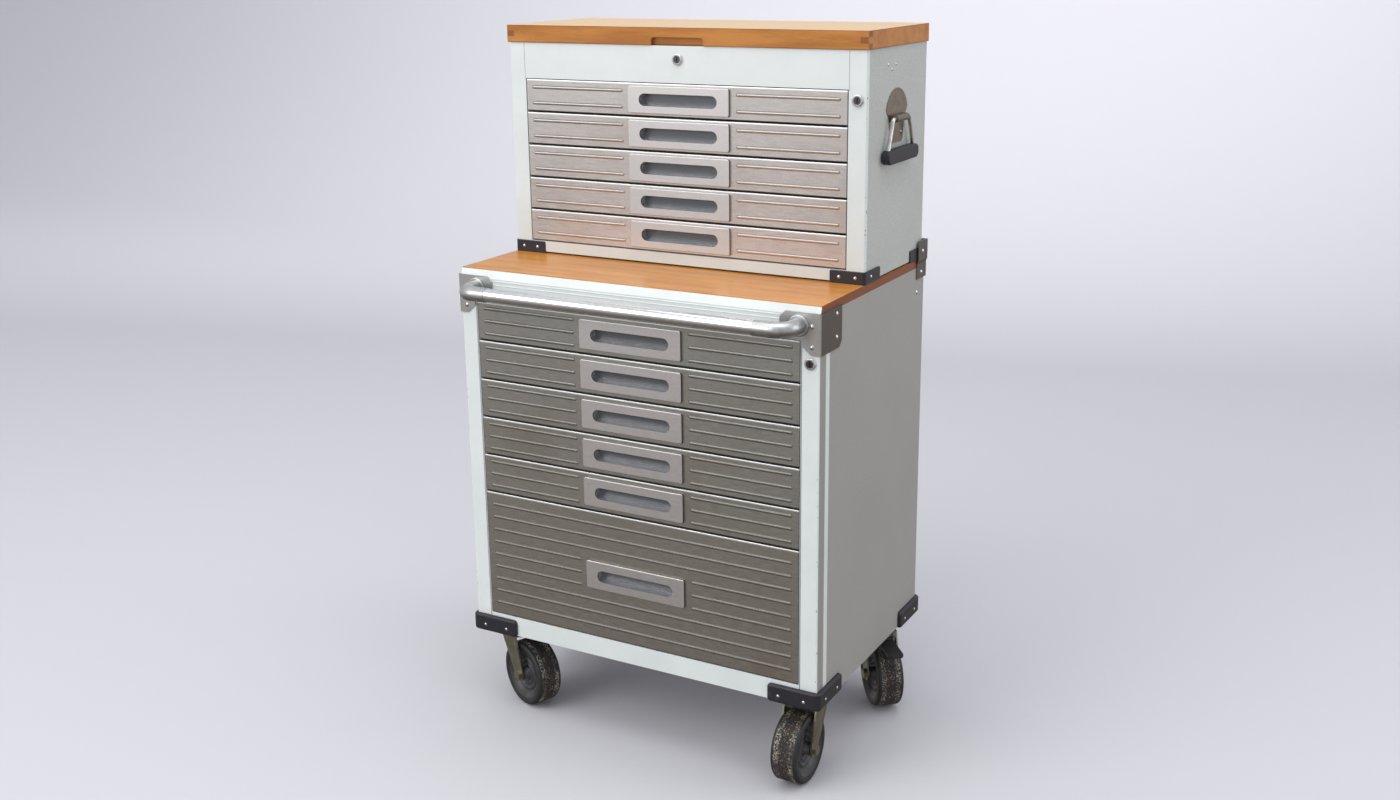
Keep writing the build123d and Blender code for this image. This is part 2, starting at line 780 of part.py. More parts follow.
def rivet(x, y, z, direction, radius=rivet_radius, height=rivet_height):
    """A domed head that stands on a face."""
    dome = (radius * radius + height * height) / (2 * height)
    base = Plane(origin=(x, y, z), z_dir=direction)
    ball = base.offset(height - dome) * Sphere(dome)
    return ball & (base * extrude(Circle(radius), height))


def cabinet_fasteners():
    heads = []
    front_face = front_y - bracket_sheet
    side_face = side_x + bracket_sheet
    for z in (handle_z, corner_bracket_foot + front_rivet_rise):
        heads += both_sides(rivet(side_x - front_rivet_inset, front_face, z, (0, -1, 0)))
    for z in (corner_bracket_top - side_rivet_drop, corner_bracket_foot + side_rivet_rise):
        heads += both_sides(rivet(side_face, front_y + side_rivet_back, z, (1, 0, 0)))
    bracket_y = rear_y - rear_bracket_width / 2
    upper_face = chest_side + chest_bumper_thickness + rear_bracket_gap + bracket_sheet
    heads += both_sides(rivet(side_face, bracket_y, worktop_top - rear_rivet_drop, (1, 0, 0)))
    heads += both_sides(rivet(upper_face, bracket_y, worktop_top + rear_rivet_rise, (1, 0, 0)))
    forward, drop = back_rivet
    heads += both_sides(rivet(side_x, rear_y - forward, worktop_top - drop, (1, 0, 0)))
    screw_z = body_bottom + bumper_height / 2 - bumper_screw_drop
    ends = ((front_y - bumper_thickness, (0, -1, 0)), (rear_y + bumper_thickness, (0, 1, 0)))
    for along in bumper_screws:
        for y_face, direction in ends:
            x = side_x - along
            heads += both_sides(rivet(x, y_face, screw_z, direction, screw_radius, screw_height))
        for y in (front_y + along, rear_y - along):
            x = side_x + bumper_thickness
            heads += both_sides(rivet(x, y, screw_z, (1, 0, 0), screw_radius, screw_height))
    save("cabinet_rivets", heads)


def chest_fasteners():
    heads = []
    screw_z = worktop_top + chest_bumper_height / 2
    face = chest_bumper_thickness
    for along in chest_bumper_screws:
        for y_face, direction in ((chest_front - face, (0, -1, 0)), (chest_rear + face, (0, 1, 0))):
            x = chest_side - along
            heads += both_sides(rivet(x, y_face, screw_z, direction, screw_radius, screw_height))
    y = chest_front + chest_bumper_side_screw
    heads += both_sides(rivet(chest_side + face, y, screw_z, (1, 0, 0), screw_radius, screw_height))
    for forward, drop in stay_rivets:
        y = chest_rear - forward
        heads += both_sides(rivet(chest_side, y, chest_top - drop, (1, 0, 0), screw_radius, screw_height))
    save("chest_rivets", heads)


# ---- bumpers -----------------------------------------------------------------------------
def bumper(half, y_face, inward, z0, length, height, thickness, lip, softness, end_round):
    """Right-hand corner guard: two round-ended legs, and an optional lip under the floor."""
    foot = z0 - lip
    top = z0 + height
    y_near = y_face - inward * thickness
    y_far = y_face + inward * length
    front_y_range = sorted((y_face, y_near))
    front_leg = block(half - length, half + thickness, *front_y_range, foot, top)
    front_end = front_leg.edges().filter_by(Axis.Y).group_by(Axis.X)[0]
    side_leg = block(half, half + thickness, *sorted((y_near, y_far)), foot, top)
    side_edges = side_leg.edges().filter_by(Axis.X).sort_by(Axis.Y)
    side_end = side_edges[-2:] if inward > 0 else side_edges[:2]
    guard = fillet(front_end, end_round) + fillet(side_end, end_round)
    upright_edges = guard.edges().filter_by(Axis.Z).group_by(Axis.X)[-1].sort_by(Axis.Y)
    guard = fillet(upright_edges[0] if inward > 0 else upright_edges[-1], thickness + edge_radius)
    front_face = guard.faces().sort_by(Axis.Y)[0 if inward > 0 else -1]
    side_face = guard.faces().sort_by(Axis.X)[-1]
    middle_z = (foot + top) / 2
    outline = [
        edge for edge in front_face.edges() + side_face.edges()
        if edge.length < height or abs(edge.center().Z - middle_z) > height / 4
    ]
    turns = [
        edge for edge in guard.edges().filter_by(GeomType.CIRCLE)
        if abs(edge.radius - thickness - edge_radius) < 0.01
    ]
    guard = fillet(outline + turns, softness)
    if lip:
        along_front = block(
            half - length + end_round, half, *sorted((y_face, y_face + inward * thickness)), foot, z0
        )
        along_side = block(half - thickness, half, *sorted((y_face, y_far - inward * end_round)), foot, z0)
        guard = guard + along_front + along_side
    return guard


def bumpers():
    guards = []
    for y_face, inward in ((front_y, 1), (rear_y, -1)):
        guard = bumper(
            side_x, y_face, inward, body_bottom, bumper_length, bumper_height, bumper_thickness,
            bumper_lip, bumper_round, bumper_end_round,
        )
        guards += both_sides(guard)
    save("cabinet_bumpers", guards)
    guards = []
    for y_face, inward in ((chest_front, 1), (chest_rear, -1)):
        guard = bumper(
            chest_side, y_face, inward, worktop_top, chest_bumper_length, chest_bumper_height,
            chest_bumper_thickness, 0, chest_bumper_round, chest_bumper_end_round,
        )
        foot_y = sorted((y_face, y_face + inward * chest_bumper_length))
        foot = block(
            chest_side - chest_bumper_length, chest_side, *foot_y, worktop_top, chest_bottom
        )
        guards += both_sides(guard + foot)
    save("chest_bumpers", guards)


# ---- locks -------------------------------------------------------------------------------
def lock(place):
    """Cam lock in a front: flanged body with a bore, and the plug that the key turns."""
    x, y, z = place
    bezel = rod(lock_radius, (x, y, z), (x, y - lock_bezel_height, z))
    bezel = fillet(bezel.faces().sort_by(Axis.Y)[0].edges(), lock_bezel_round)
    barrel = rod(lock_barrel_radius, (x, y, z), (x, y + lock_barrel, z))
    bore_start = (x, y - lock_bezel_height - 1, z)
    bore = rod(plug_radius + plug_running, bore_start, (x, y + lock_barrel + 1, z))
    front = y - lock_bezel_height + plug_proud
    cam_y = y + lock_barrel + cam_gap
    plug = rod(plug_radius, (x, front, z), (x, cam_y, z))
    cam = block(
        x - cam_half_width, x + cam_half_width, cam_y, cam_y + cam_sheet,
        z - cam_tail, z + cam_length,
    )
    slot = block(
        x - key_slot_width / 2, x + key_slot_width / 2, front - 1, front + key_slot_depth,
        z - key_slot_length / 2, z + key_slot_length / 2,
    )
    return bezel + barrel - bore, plug + cam - slot


def locks():
    body, plug = lock(cabinet_lock)
    save("cabinet_lock_body", [body])
    save("cabinet_lock_plug", [plug])
    drawer_body, drawer_plug = lock(chest_lock)
    lid_body, lid_plug = lock(lid_lock)
    save("chest_lock_bodies", [drawer_body, lid_body])
    save("chest_lock_plug", [drawer_plug])
    save("lid_lock_plug", [lid_plug])


# ---- drop handles ------------------------------------------------------------------------
def bail():
    """Right-hand drop handle: splayed wire with its pivot ends turned in, and the grip."""
    x = bail_x
    foot_z = bail_pivot_z - bail_drop
    inner = bail_ear_half - bail_hook
    points = [
        (x, bail_y - inner, bail_pivot_z),
        (x, bail_y - bail_pivot_half, bail_pivot_z),
        (x, bail_y - bail_foot_half, foot_z),
        (x, bail_y + bail_foot_half, foot_z),
        (x, bail_y + bail_pivot_half, bail_pivot_z),
        (x, bail_y + inner, bail_pivot_z),
    ]
    path = FilletPolyline(*points, radius=bail_bend)
    section = Plane(origin=points[0], z_dir=(0, -1, 0)) * Circle(bail_wire)
    wire = sweep(section, path)
    grip = block(
        x - grip_thickness / 2, x + grip_thickness / 2, bail_y - grip_length / 2,
        bail_y + grip_length / 2, foot_z - grip_height / 2, foot_z + grip_height / 2,
    )
    grip = fillet(grip.edges().filter_by(Axis.X), grip_end_radius)
    faces = grip.faces().sort_by(Axis.X)
    grip = fillet(faces[0].edges() + faces[-1].edges(), grip_round)
    return [wire, grip - wire]


def bail_plate():
    """Right-hand plate: round head, waist with two ears that hold the wire, and a tongue."""
    x = chest_side
    facing = Plane(origin=(x, bail_y, bail_pivot_z), x_dir=(0, 1, 0), z_dir=(1, 0, 0))
    radius = bail_plate_radius
    below = Pos(0, bail_plate_shoulder - radius) * Rectangle(3 * radius, 2 * radius)
    shoulder = (radius * radius - bail_plate_shoulder * bail_plate_shoulder) ** 0.5
    body = make_face(
        Polyline(
            (-shoulder, bail_plate_shoulder),
            (-bail_waist_half, 0),
            (-bail_tongue_half, -bail_tongue),
            (bail_tongue_half, -bail_tongue),
            (bail_waist_half, 0),
            (shoulder, bail_plate_shoulder),
            close=True,
        )
    )
    body = fillet(body.vertices().group_by(Axis.Y)[0], bail_tongue_corner)
    plate = extrude(facing * ((Circle(radius) - below) + body), bail_plate_sheet)
    outer = bail_wire + bail_ear_wall
    axis_x = bail_x
    inner_y = bail_ear_half
    ear_start = (axis_x, bail_y - inner_y, bail_pivot_z)
    ear_end = (axis_x, bail_y + inner_y, bail_pivot_z)
    ear = rod(outer, ear_start, ear_end)
    seat = block(
        x, axis_x, bail_y - inner_y, bail_y + inner_y, bail_pivot_z - outer, bail_pivot_z + outer
    )
    bore = rod(
        bail_wire + bail_ear_gap, (axis_x, bail_y - inner_y - 1, bail_pivot_z),
        (axis_x, bail_y + inner_y + 1, bail_pivot_z),
    )
    beside, drop = bail_rivet
    heads = [
        rivet(x + bail_plate_sheet, bail_y + offset, bail_pivot_z - drop, (1, 0, 0))
        for offset in (-beside, beside)
    ]
    return [plate + ear + seat - bore] + heads


def drop_handles():
    plates = []
    for piece in bail_plate():
        plates += both_sides(piece)
    save("bail_plates", plates)
    pieces = bail()
    save("bail_right", pieces)
    save("bail_left", [mirrored(piece) for piece in pieces])


# ---- casters -----------------------------------------------------------------------------
def wheel():
    """Wheel about Y at the origin: rubber tyre on a ringed hub with a plain bore."""
    tread = tyre_width / 2
    rim = Rectangle(wheel_radius - hub_radius, tyre_width)
    rim = Pos((wheel_radius + hub_radius) / 2, 0) * rim
    rim = fillet(rim.vertices().group_by(Axis.X)[-1], tyre_shoulder)
    tyre = revolve(Plane.XY * rim, Axis.Y)
    hub_half = hub_width / 2
    dish = hub_half - hub_dish
    bore = axle_radius + axle_running
    profile = Polyline(
        (bore, -tread - boss_proud),
        (boss_radius, -tread - boss_proud),
        (boss_radius, -dish),
        (hub_ring_inner, -dish),
        (hub_ring_inner, -hub_half + hub_ring_inset),
        (hub_ring_outer, -hub_half + hub_ring_inset),
        (hub_ring_outer, -dish),
        (hub_dish_outer, -dish),
        (hub_rim_inner, -hub_half),
        (hub_radius, -hub_half),
        (hub_radius, 0),
        (bore, 0),
        close=True,
    )
    half_hub = revolve(Plane.XY * make_face(profile), Axis.Y)
    hub = half_hub + mirror(half_hub, about=Plane.XZ)
    return [tyre, hub]


def fork():
    """Fork that trails along +X from its kingpin at the origin: crown, two legs, axle bolt."""
    inner = tyre_width / 2 + fork_wheel_gap
    outer = inner + fork_sheet
    crown = rod(fork_crown_radius, (0, 0, fork_crown_z), (0, 0, fork_crown_z + fork_crown))
    bridge = block(
        -fork_leg_top / 2, fork_leg_top / 2, -outer, outer, fork_crown_z, fork_crown_z + fork_crown
    )
    leg_top = fork_top
    round_end = Pos(caster_trail, wheel_radius) * Circle(fork_leg_end)
    lean = atan2(leg_top - wheel_radius, caster_trail)
    side_x_out = fork_leg_end * sin(lean)
    side_z_out = fork_leg_end * cos(lean)
    taper = make_face(
        Polyline(
            (-fork_leg_top / 2, leg_top),
            (fork_leg_top / 2, leg_top),
            (caster_trail + fork_leg_end, wheel_radius + fork_leg_step),
            (caster_trail, wheel_radius),
            (caster_trail - side_x_out, wheel_radius - side_z_out),
            close=True,
        )
    )
    leg = extrude(Plane.XZ * (taper + round_end), fork_sheet)
    near = Pos(0, -inner, 0) * leg
    far = Pos(0, outer, 0) * leg
    tip = outer + axle_stub
    axle = rod(axle_radius, (caster_trail, -tip, wheel_radius), (caster_trail, tip, wheel_radius))
    king_hole = rod(kingpin_radius + kingpin_running, (0, 0, fork_crown_z - 1), (0, 0, leg_top + 1))
    frame = crown + bridge + near + far - axle - king_hole
    hexagon = extrude(RegularPolygon(axle_head_radius, 6), axle_head)
    head = Plane(origin=(caster_trail, -outer, wheel_radius), z_dir=(0, -1, 0)) * hexagon
    nut = Plane(origin=(caster_trail, outer, wheel_radius), z_dir=(0, 1, 0)) * hexagon
    return frame, axle + head + nut


def pedal_ears():
    """Two ears on the crown that hold the brake pedal's pin."""
    inner = pedal_width / 2 + pedal_ear_gap
    bottom = pedal_pin_z - pedal_eye_radius
    far = pedal_pin_out + pedal_eye_radius
    ear = block(fork_crown_radius / 2, far, inner, inner + pedal_ear, bottom, fork_top)
    return ear + mirror(ear, about=Plane.XZ)


def pedal_pin():
    reach = pedal_width / 2 + pedal_ear_gap + pedal_ear
    start = (pedal_pin_out, -reach, pedal_pin_z)
    return rod(pedal_pin_radius, start, (pedal_pin_out, reach, pedal_pin_z))


def brake_pedal():
    """Pedal that tips on its pin, with a shoe under it that comes down to the tyre."""
    x = pedal_pin_out
    z = pedal_pin_z
    half = pedal_width / 2
    arm = block(x, x + pedal_length, -half, half, z - pedal_sheet / 2, z + pedal_sheet / 2)
    arm = fillet(arm.edges().filter_by(Axis.Z).group_by(Axis.X)[-1], pedal_round)
    shoe = block(x + shoe_start, x + shoe_start + shoe_length, -half, half, z - shoe_drop, z)
    eye = rod(pedal_eye_radius, (x, -half, z), (x, half, z))
    bore = rod(pedal_pin_radius + pedal_running, (x, -half - 1, z), (x, half + 1, z))
    return arm + shoe + eye - bore


def casters():
    places = {
        "front_left": (-caster_x, front_caster_y, front_left_heading, False),
        "front_right": (caster_x, front_caster_y, front_right_heading, False),
        "rear_left": (-caster_x, rear_caster_y, rear_left_heading, True),
        "rear_right": (caster_x, rear_caster_y, rear_right_heading, True),
    }
    tyre, hub = wheel()
    plates = []
    for corner, (x, y, heading, braked) in places.items():
        place = Pos(x, y, 0) * Rot(0, 0, heading)
        wheel_place = place * Pos(caster_trail, 0, wheel_radius)
        frame, axle = fork()
        pieces = [frame, axle]
        if braked:
            pieces = [frame + pedal_ears() - pedal_pin(), axle, pedal_pin()]
            save(f"brake_pedal_{corner}", [place * brake_pedal()])
        save(f"caster_fork_{corner}", [place * piece for piece in pieces])
        save(f"wheel_{corner}", [wheel_place * tyre, wheel_place * hub])
        plates += caster_mount(x, y)
    save("caster_plates", plates)


def caster_mount(x, y):
    """Plate under the floor with its raceway, kingpin and four bolts."""
    plate = block(
        x - caster_plate_x / 2, x + caster_plate_x / 2, y - caster_plate_y / 2,
        y + caster_plate_y / 2, body_bottom - caster_plate, body_bottom,
    )
    plate = fillet(plate.edges().filter_by(Axis.Z), caster_plate_corner)
    race_bottom = fork_top + race_gap
    race = rod(race_radius, (x, y, race_bottom), (x, y, body_bottom - caster_plate))
    race = chamfer(race.faces().sort_by(Axis.Z)[0].edges(), race_chamfer)
    pin_foot = (x, y, fork_crown_z - kingpin_reach)
    kingpin = rod(kingpin_radius, pin_foot, (x, y, race_bottom + kingpin_reach))
    hexagon = extrude(RegularPolygon(kingpin_nut_radius, 6), kingpin_nut - race_gap)
    pieces = [plate + race + kingpin + Pos(x, y, fork_crown_z - kingpin_nut) * hexagon]
    head = extrude(RegularPolygon(caster_bolt_head, 6), caster_bolt_height)
    head_z = body_bottom - caster_plate - caster_bolt_height
    for dx in (-caster_bolt_x, caster_bolt_x):
        for dy in (-caster_bolt_y, caster_bolt_y):
            pieces.append(Pos(x + dx, y + dy, head_z) * head)
    return pieces


os.makedirs("parts", exist_ok=True)
cabinet_body()
chest_body()
cabinet_drawers()
chest_drawers()
lid()
hinge()
push_handle()
save("corner_brackets", both_sides(corner_bracket()) + both_sides(rear_bracket()))
cabinet_fasteners()
chest_fasteners()
bumpers()
locks()
drop_handles()
casters()
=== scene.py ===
import json
from math import cos, radians, sin, tau

import bmesh
import bpy
from mathutils import Matrix, Vector


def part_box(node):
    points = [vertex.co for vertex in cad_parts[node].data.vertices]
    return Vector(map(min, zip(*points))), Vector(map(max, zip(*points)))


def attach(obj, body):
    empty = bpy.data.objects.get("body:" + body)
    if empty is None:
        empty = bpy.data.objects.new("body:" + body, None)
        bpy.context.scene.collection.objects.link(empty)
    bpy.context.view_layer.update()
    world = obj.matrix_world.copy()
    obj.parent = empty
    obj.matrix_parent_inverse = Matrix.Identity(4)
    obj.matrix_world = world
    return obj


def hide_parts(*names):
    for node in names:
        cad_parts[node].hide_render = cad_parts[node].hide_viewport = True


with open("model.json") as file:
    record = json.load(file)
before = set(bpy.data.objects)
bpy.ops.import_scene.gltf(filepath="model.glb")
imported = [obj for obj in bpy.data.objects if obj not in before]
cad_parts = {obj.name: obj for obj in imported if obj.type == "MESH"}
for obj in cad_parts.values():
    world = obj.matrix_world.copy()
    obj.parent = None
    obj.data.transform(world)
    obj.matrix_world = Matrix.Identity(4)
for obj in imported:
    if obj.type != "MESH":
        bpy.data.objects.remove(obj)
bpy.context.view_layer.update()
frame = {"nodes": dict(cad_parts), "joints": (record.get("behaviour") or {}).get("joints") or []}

nodes = frame["nodes"]
MM = 0.001

# ---- places taken from the frame ---------------------------------------------------------
cabinet_low, cabinet_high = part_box("cabinet_shell")
frame_low, frame_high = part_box("cabinet_front_frame")
chest_low, chest_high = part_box("chest_shell")
lid_low, lid_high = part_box("lid")
side_x = cabinet_high[0]
wrap_end = cabinet_low[1]                    # front edge of the cabinet's shell
finger = (lid_high[2] - lid_low[2]) / 3      # one finger of the lid's corner joints
wheel_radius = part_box("wheel_front_right")[1][2] / 2

# ---- sizes that the materials follow -----------------------------------------------------
DRAWER_GAP = 2.5 * MM            # between a drawer's end and the frame
LID_BOARD = 15 * MM              # thickness of the lid's boards
PULL_HALF_LENGTH = 102 * MM
SLOT_HALF_LENGTH = 80 * MM
SLOT_HALF_HEIGHT = 12.4 * MM
GRIP_HEIGHT = 24.2 * MM          # moulded grip at the foot of a drop handle
BEYOND = 1.0                     # sets a limit that no distance from the middle reaches

# ---- sizes of the wheel ------------------------------------------------------------------
TREAD_HALF = 25 * MM
FLAT_SHARE = 0.74                # flat part of the tread's half width
FLAT_STEPS = 8
SOIL_ROOM = 0.4 * MM             # the tyre's skin stays this far inside the CAD wheel
SOIL_DEPTH = 1.1 * MM
SOIL_GRAIN = 9 * MM              # length across the tread that lumps() counts as 1
SHOULDER = 6.5 * MM
SHOULDER_STEPS = 5
RIM_RADIUS = 47 * MM
HUB_RINGS = (                    # radius and distance from the middle plane, in mm
    (45, 22.0), (43.5, 19.0), (40.5, 18.6), (39, 14.5), (34, 14.0), (32.5, 17.5), (30.0, 17.5),
    (28.5, 13.5), (24.0, 13.2), (22.5, 16.5), (20.0, 16.5), (18.5, 13.0), (14.0, 13.0),
    (12.0, 26.5), (7.0, 26.9),
)
WHEEL_STEPS = 144
TREAD, SIDE_WALL, HUB, CAKED_EDGE = range(4)     # places of a wheel's materials

# ---- colours, as linear red, green and blue ----------------------------------------------
WHITE_PAINT = (0.74, 0.775, 0.75)
GRIME = (0.42, 0.38, 0.32)
CHIPPED = (0.20, 0.13, 0.09)
SEAM = (0.16, 0.16, 0.18)
SIDE_PAINT = (0.36, 0.345, 0.315)
CHEST_SIDE_PAINT = (0.50, 0.515, 0.475)
JAMB_SHADE = (0.030, 0.034, 0.052)
INNER_PAINT = (0.22, 0.22, 0.22)
CHEST_STEEL = ((0.68, 0.62, 0.595), (0.55, 0.54, 0.535))   # at the foot, at the top
CABINET_STEEL = ((0.42, 0.395, 0.35), (0.40, 0.40, 0.385))
WARM_TINT = (0.86, 0.79, 0.70)
STAIN_TINT = (0.78, 0.70, 0.60)
PULL_STEEL = (0.70, 0.68, 0.68)
FOOT_SHADE = (0.10, 0.09, 0.085)
RIGHT_EDGE_SHADE = (0.12, 0.115, 0.11)
WOOD_LIGHT = (0.62, 0.26, 0.045)
WOOD_DARK = (0.44, 0.15, 0.022)
WOOD_EDGE = (0.22, 0.065, 0.022)
WOOD_SCUFF = (0.80, 0.50, 0.24)
LID_LIGHT = (0.54, 0.225, 0.052)
LID_DARK = (0.34, 0.12, 0.026)
END_GRAIN = (0.20, 0.075, 0.028)
LID_TOP = (0.92, 0.66, 0.37)
RUBBER = (0.018, 0.018, 0.020)
HUB_PLASTIC = (0.045, 0.045, 0.048)
DRY_MUD = (0.46, 0.41, 0.31)
WET_MUD = (0.050, 0.030, 0.023)
ZINC = (0.36, 0.345, 0.275)
BLACK = (0.018, 0.017, 0.023)
# painted shade inside the pulls' slots
SLOT_SHADE = (0.14, 0.145, 0.155)
# painted highlight, for the fronts' top edges and the slots' lips
PAINTED_HIGHLIGHT = (0.95, 0.95, 0.95)
STUDIO_GREY = (0.62, 0.61, 0.64)
SKY_BANDS = (                    # height of the direction, from -1 to 1, and colour
    (-1.00, (0.10, 0.09, 0.08)),
    (-0.42, (0.24, 0.225, 0.20)),
    (-0.18, (0.50, 0.46, 0.44)),
    (-0.04, (0.62, 0.60, 0.61)),
    (0.10, (0.56, 0.57, 0.60)),
    (0.50, (0.60, 0.63, 0.68)),
    (1.00, (0.92, 0.96, 1.00)),
)


def scaled(colour, factor):
    """A colour made darker or lighter."""
    return tuple(factor * channel for channel in colour)


def tinted(colour, tint):
    """A colour with a factor of its own for each channel."""
    return tuple(channel * share for channel, share in zip(colour, tint))


class Shader:
    """A procedural material. Positions are in the object's own frame, in metres."""

    def __init__(self, name, roughness, metallic=0.0, **surface):
        self.material = bpy.data.materials.new(name)
        self.material.use_nodes = True
        self.tree = self.material.node_tree
        self.surface = self.tree.nodes["Principled BSDF"]
        self.surface.inputs["Roughness"].default_value = roughness
        self.surface.inputs["Metallic"].default_value = metallic
        for socket, value in surface.items():
            self.surface.inputs[socket.replace("_", " ")].default_value = value
        self.place = self.tree.nodes.new("ShaderNodeTexCoord").outputs["Object"]
        self.parts = self.tree.nodes.new("ShaderNodeSeparateXYZ")
        self.tree.links.new(self.place, self.parts.inputs[0])
        surface_normal = self.tree.nodes.new("ShaderNodeNewGeometry").outputs["Normal"]
        normal_parts = self.tree.nodes.new("ShaderNodeSeparateXYZ")
        self.tree.links.new(surface_normal, normal_parts.inputs[0])
        self.facing_up = normal_parts.outputs["Z"]
        self.facing_right = normal_parts.outputs["X"]
        self.facing_back = normal_parts.outputs["Y"]

    def put(self, value, socket):
        """Links an output, or sets a plain number or colour."""
        if isinstance(value, bpy.types.NodeSocket):
            self.tree.links.new(value, socket)
        elif isinstance(value, tuple) and len(socket.default_value) == 4:
            socket.default_value = (*value, 1.0)
        else:
            socket.default_value = value

    def axis(self, letter):
        return self.parts.outputs[letter]

    def x_size(self):
        """Distance from the middle plane."""
        return self.math("ABSOLUTE", self.axis("X"))

    def math(self, operation, first, second=0.0):
        node = self.tree.nodes.new("ShaderNodeMath")
        node.operation = operation
        self.put(first, node.inputs[0])
        self.put(second, node.inputs[1])
        return node.outputs[0]

    def noise(self, scale, detail, roughness=0.55, stretch=(1, 1, 1)):
        mapping = self.tree.nodes.new("ShaderNodeMapping")
        mapping.inputs["Scale"].default_value = stretch
        self.tree.links.new(self.place, mapping.inputs["Vector"])
        node = self.tree.nodes.new("ShaderNodeTexNoise")
        node.inputs["Scale"].default_value = scale
        node.inputs["Detail"].default_value = detail
        node.inputs["Roughness"].default_value = roughness
        self.tree.links.new(mapping.outputs[0], node.inputs["Vector"])
        return node.outputs["Fac"]

    def ramp(self, value, low, high, to_low=0.0, to_high=1.0):
        """Goes smoothly from one result to another between two limits."""
        node = self.tree.nodes.new("ShaderNodeMapRange")
        node.interpolation_type = "SMOOTHSTEP"
        self.put(value, node.inputs["Value"])
        limits = (("From Min", low), ("From Max", high), ("To Min", to_low), ("To Max", to_high))
        for socket, number in limits:
            node.inputs[socket].default_value = number
        return node.outputs["Result"]

    def mix(self, amount, first, second):
        """The first colour where the amount is 0, the second where it is 1."""
        node = self.tree.nodes.new("ShaderNodeMix")
        node.data_type = "RGBA"
        self.put(amount, node.inputs["Factor"])
        colours = [socket for socket in node.inputs if socket.type == "RGBA"]
        self.put(first, colours[0])
        self.put(second, colours[1])
        return [socket for socket in node.outputs if socket.type == "RGBA"][0]

    def inside(self, value, low, high, soft=0.2 * MM):
        """1 between two limits, 0 outside them."""
        above = self.ramp(value, low - soft, low + soft)
        below = self.ramp(value, high - soft, high + soft, 1.0, 0.0)
        return self.both(above, below)

    def both(self, first, second):
        return self.math("MULTIPLY", first, second)

    def either(self, first, second):
        return self.math("MAXIMUM", first, second)

    def other(self, value):
        """0 where the value is 1, and 1 where it is 0."""
        return self.math("SUBTRACT", 1.0, value)

    def colour(self, value):
        self.put(value, self.surface.inputs["Base Color"])

    def roughness(self, value):
        self.put(value, self.surface.inputs["Roughness"])

    def bump(self, height, distance, strength):
        node = self.tree.nodes.new("ShaderNodeBump")
        node.inputs["Distance"].default_value = distance
        node.inputs["Strength"].default_value = strength
        self.put(height, node.inputs["Height"])
        self.tree.links.new(node.outputs[0], self.surface.inputs["Normal"])


# ---- materials ---------------------------------------------------------------------------
def white_paint(name, opening, face_y, opening_top, wrap_from=None):
    """Off-white enamel: painted shade in grey on the fold round a side, or seams above the drawers.
    """
    paint = Shader(name, 0.34, Coat_Weight=0.15, Coat_Roughness=0.2)
    clouds = paint.noise(9.0, 5.0, 0.6)
    tone = paint.mix(paint.ramp(clouds, 0.35, 0.75), WHITE_PAINT, scaled(WHITE_PAINT, 0.93))
    grime = paint.ramp(paint.noise(70.0, 6.0, 0.7, (1, 1, 0.35)), 0.66, 0.80)
    tone = paint.mix(paint.both(grime, 0.35), tone, GRIME)
    chips = paint.ramp(paint.noise(210.0, 3.0, 0.5, (1, 1, 0.5)), 0.67, 0.69)
    x_size = paint.x_size()
    edge = paint.inside(x_size, side_x - 3.2 * MM, side_x - 0.4 * MM)
    tone = paint.mix(paint.both(chips, edge), tone, CHIPPED)
    behind = paint.ramp(paint.axis("Y"), face_y + 0.4 * MM, face_y + 1.2 * MM)
    beside = paint.inside(x_size, opening - 0.5 * MM, opening + 1.6 * MM)
    below = paint.ramp(paint.axis("Z"), opening_top, opening_top + 1 * MM, 1.0, 0.0)
    tone = paint.mix(paint.both(paint.both(behind, beside), below), tone, JAMB_SHADE)
    if wrap_from is None:
        seam = paint.inside(x_size, opening - 0.6 * MM, opening + 0.4 * MM)
        above = paint.ramp(paint.axis("Z"), opening_top - 0.2 * MM, opening_top + 0.2 * MM)
        tone = paint.mix(paint.both(paint.both(seam, above), 0.8), tone, SEAM)
    else:
        # painted shade: the white fold round the side is coloured grey, as it looks in shade
        side = paint.inside(x_size, side_x - 0.3 * MM, side_x + BEYOND)
        ahead = paint.ramp(paint.axis("Y"), wrap_from - 2.4 * MM, wrap_from - 2.0 * MM, 1.0, 0.0)
        tone = paint.mix(paint.both(side, ahead), tone, scaled(SIDE_PAINT, 0.86))
    paint.colour(tone)
    paint.roughness(paint.ramp(clouds, 0.2, 0.8, 0.28, 0.42))
    paint.bump(paint.noise(420.0, 3.0), 0.05 * MM, 0.5)
    return paint.material


def hammered_paint(name, base):
    """Silver-grey paint with a fine hammered skin."""
    paint = Shader(name, 0.46, Specular_IOR_Level=0.6)
    skin = paint.noise(520.0, 3.0, 0.6)
    clouds = paint.noise(6.0, 5.0, 0.55)
    tone = paint.mix(paint.ramp(skin, 0.3, 0.7), scaled(base, 0.84), scaled(base, 1.12))
    tone = paint.mix(paint.ramp(clouds, 0.40, 0.80, 0.0, 0.30), tone, scaled(base, 0.80))
    paint.colour(tone)
    paint.roughness(paint.ramp(skin, 0.2, 0.8, 0.38, 0.58))
    paint.bump(skin, 0.10 * MM, 0.6)
    return paint.material


